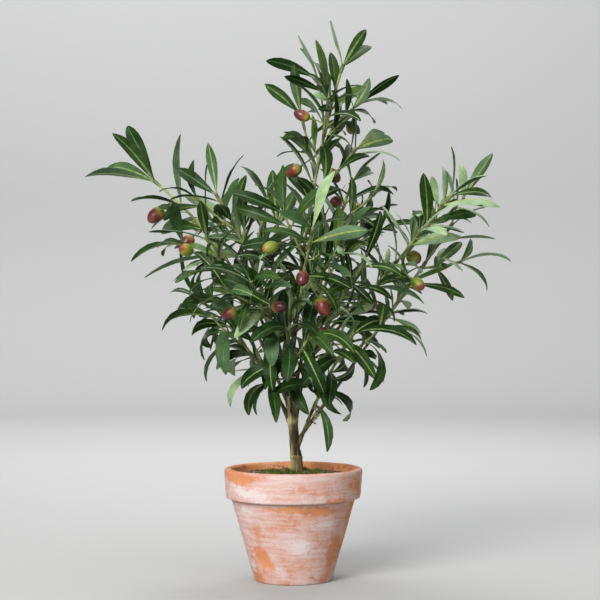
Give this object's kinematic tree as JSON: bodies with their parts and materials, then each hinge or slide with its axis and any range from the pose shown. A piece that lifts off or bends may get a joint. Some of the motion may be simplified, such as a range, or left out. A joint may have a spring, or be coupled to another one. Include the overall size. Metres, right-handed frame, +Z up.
{
  "type": "artificial potted olive tree",
  "caption": "Artificial olive tree with a bundled stem, drooping leaves and ripening olives, standing in a round terracotta pot filled level and dressed with moss.",
  "frame": {"origin": "middle of the pot's flat underside, on the surface that it stands on", "axes": "+Z up along the pot's axis, +X to the right and -Y towards the viewer when the tree is seen from its front"},
  "size_m": [0.4602, 0.3057, 0.6045],
  "materials": {
    "terracotta": "matt unglazed terracotta with a worn pinkish-white wash",
    "filling": "dusty brown gritty filling",
    "moss": "dry green moss",
    "trunk": "brown moulded stem wrapped in tape",
    "stems": "brown-green moulded stems",
    "foliage": "printed leaf fabric, dark green above and pale grey-green below, with green stems and maroon olives"
  },
  "bodies": {
    "root": {"pot": "terracotta", "filling": "filling", "moss": "moss", "trunk": "trunk", "bough_top": "stems", "foliage_top": "foliage", "bough_left_arm": "stems", "foliage_left_arm": "foliage", "bough_right_arm": "stems", "foliage_right_arm": "foliage", "bough_centre_front": "stems", "foliage_centre_front": "foliage", "bough_crown_left": "stems", "foliage_crown_left": "foliage", "bough_back_left": "stems", "foliage_back_left": "foliage", "bough_back_right": "stems", "foliage_back_right": "foliage", "bough_upper_centre": "stems", "foliage_upper_centre": "foliage", "bough_front_left": "stems", "foliage_front_left": "foliage", "bough_centre_right": "stems", "foliage_centre_right": "foliage", "bough_left_mid": "stems", "foliage_left_mid": "foliage", "bough_lower_front": "stems", "foliage_lower_front": "foliage", "bough_lower_left": "stems", "foliage_lower_left": "foliage", "bough_lower_back_left": "stems", "foliage_lower_back_left": "foliage", "bough_lower_back_right": "stems", "foliage_lower_back_right": "foliage", "bough_right_arm_low": "stems", "foliage_right_arm_low": "foliage", "bough_lower_right": "stems", "foliage_lower_right": "foliage"}
  },
  "joints": []
}
